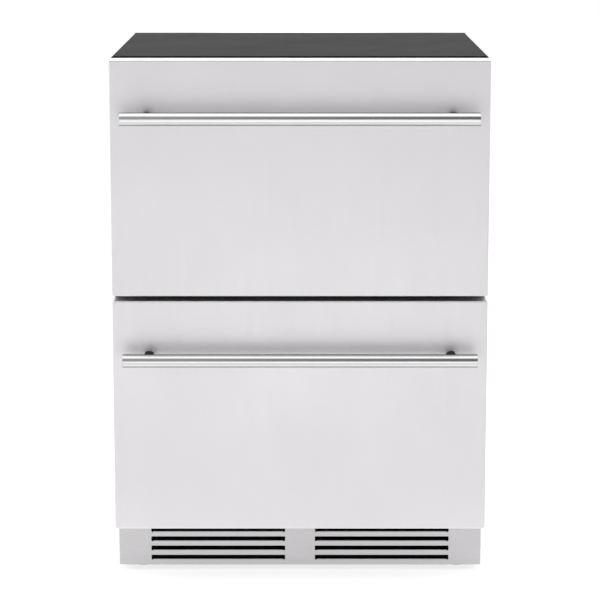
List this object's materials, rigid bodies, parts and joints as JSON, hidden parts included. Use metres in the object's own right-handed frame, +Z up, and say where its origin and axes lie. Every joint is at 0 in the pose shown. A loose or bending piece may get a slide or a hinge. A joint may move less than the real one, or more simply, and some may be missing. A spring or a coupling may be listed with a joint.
{
  "type": "undercounter drawer refrigerator",
  "caption": "Undercounter refrigerator with equal stainless drawer fronts, round bar handles, a black cabinet and a louvred toe grille; the drawers pull out on full-extension slides.",
  "frame": {"origin": "on the floor under the feet, in the middle of the overall width and depth, handles included", "axes": "+Z up, -Y towards the front where the drawers open, +X to the right as seen from the front"},
  "size_m": [0.606, 0.662, 0.864],
  "materials": {
    "front_steel": "vertically and finely brushed stainless sheet, pale and soft in reflection",
    "handle_steel": "satin polished round stainless bar",
    "grille_steel": "brushed stainless sheet with pressed louvre slots",
    "cabinet_paint": "fine-textured black paint on sheet steel",
    "zinc_steel": "galvanised sheet steel with a faint spangle",
    "rail_steel": "zinc plated cold-rolled slide steel",
    "insulation_foam": "rigid foamed insulation, matte cream",
    "liner_plastic": "satin white thermoformed plastic",
    "bin_steel": "brushed stainless bin sheet",
    "gasket_rubber": "soft black extruded gasket",
    "black_plastic": "moulded black plastic, matte",
    "grey_plastic": "moulded grey plastic, matte",
    "aluminium_fin": "mill-finish aluminium fins",
    "coil_black": "black-coated aluminium fins and tubes",
    "copper_tube": "drawn copper tube, slightly dulled",
    "compressor_paint": "black enamel on a pressed steel shell",
    "light_lens": "frosted light diffuser",
    "control_black": "glossy black touch surface"
  },
  "bodies": {
    "cabinet": {"cabinet_wrapper": "cabinet_paint", "rear_panel": "zinc_steel", "machine_cover": "zinc_steel", "base_pan": "cabinet_paint", "cabinet_floor": "cabinet_paint", "cabinet_foam": "insulation_foam", "upper_liner": "liner_plastic", "lower_liner": "liner_plastic", "mullion_rail": "cabinet_paint", "toe_grille": "grille_steel", "evaporator_cover": "liner_plastic", "evaporator_coil": "aluminium_fin", "evaporator_fan_motor": "grey_plastic", "lower_air_outlet": "liner_plastic", "upper_light": "light_lens", "lower_light": "light_lens", "control_panel": "control_black", "power_inlet": "black_plastic", "compressor": "compressor_paint", "condenser_coil": "coil_black", "condenser_fan_shroud": "black_plastic", "drain_pan": "black_plastic", "electronics_box": "grey_plastic", "discharge_line": "copper_tube", "liquid_line": "copper_tube", "suction_line": "copper_tube", "upper_left_cabinet_rail": "rail_steel", "upper_right_cabinet_rail": "rail_steel", "lower_left_cabinet_rail": "rail_steel", "lower_right_cabinet_rail": "rail_steel"},
    "upper_drawer": {"upper_front_skin": "front_steel", "upper_front_foam": "insulation_foam", "upper_front_liner": "liner_plastic", "upper_gasket": "gasket_rubber", "upper_handle_bar": "handle_steel", "upper_left_handle_post": "handle_steel", "upper_right_handle_post": "handle_steel", "upper_bin": "bin_steel", "upper_left_drawer_rail": "rail_steel", "upper_right_drawer_rail": "rail_steel"},
    "lower_drawer": {"lower_front_skin": "front_steel", "lower_front_foam": "insulation_foam", "lower_front_liner": "liner_plastic", "lower_gasket": "gasket_rubber", "lower_handle_bar": "handle_steel", "lower_left_handle_post": "handle_steel", "lower_right_handle_post": "handle_steel", "lower_bin": "bin_steel", "lower_left_drawer_rail": "rail_steel", "lower_right_drawer_rail": "rail_steel"},
    "upper_middle_rails": {"upper_left_middle_rail": "rail_steel", "upper_right_middle_rail": "rail_steel"},
    "lower_middle_rails": {"lower_left_middle_rail": "rail_steel", "lower_right_middle_rail": "rail_steel"},
    "condenser_fan": {"condenser_fan_wheel": "grey_plastic"},
    "evaporator_fan": {"evaporator_fan_wheel": "grey_plastic"},
    "front_left_foot": {"front_left_leg": "zinc_steel"},
    "front_right_foot": {"front_right_leg": "zinc_steel"},
    "rear_left_foot": {"rear_left_leg": "zinc_steel"},
    "rear_right_foot": {"rear_right_leg": "zinc_steel"}
  },
  "joints": [
    {"name": "upper_drawer_slide", "type": "slide", "parent": "cabinet", "child": "upper_drawer", "axis": [0, -1, 0], "range_m": [0, 0.44]},
    {"name": "lower_drawer_slide", "type": "slide", "parent": "cabinet", "child": "lower_drawer", "axis": [0, -1, 0], "range_m": [0, 0.44]},
    {"name": "upper_middle_slide", "type": "slide", "parent": "cabinet", "child": "upper_middle_rails", "axis": [0, -1, 0], "range_m": [0, 0.22]},
    {"name": "lower_middle_slide", "type": "slide", "parent": "cabinet", "child": "lower_middle_rails", "axis": [0, -1, 0], "range_m": [0, 0.22]},
    {"name": "condenser_fan_spin", "type": "hinge", "parent": "cabinet", "child": "condenser_fan", "pos_m": [-0.137, -0.1265, 0.051], "axis": [0, 1, 0], "continuous": true},
    {"name": "evaporator_fan_spin", "type": "hinge", "parent": "cabinet", "child": "evaporator_fan", "pos_m": [0, 0.2675, 0.74], "axis": [0, 1, 0], "continuous": true},
    {"name": "front_left_leg_screw", "type": "slide", "parent": "cabinet", "child": "front_left_foot", "axis": [0, 0, -1], "range_m": [0, 0.025]},
    {"name": "front_right_leg_screw", "type": "slide", "parent": "cabinet", "child": "front_right_foot", "axis": [0, 0, -1], "range_m": [0, 0.025]},
    {"name": "rear_left_leg_screw", "type": "slide", "parent": "cabinet", "child": "rear_left_foot", "axis": [0, 0, -1], "range_m": [0, 0.025]},
    {"name": "rear_right_leg_screw", "type": "slide", "parent": "cabinet", "child": "rear_right_foot", "axis": [0, 0, -1], "range_m": [0, 0.025]}
  ],
  "couplings": [
    {"joint": "upper_middle_slide", "follows": "upper_drawer_slide", "ratio": 0.5},
    {"joint": "lower_middle_slide", "follows": "lower_drawer_slide", "ratio": 0.5}
  ]
}
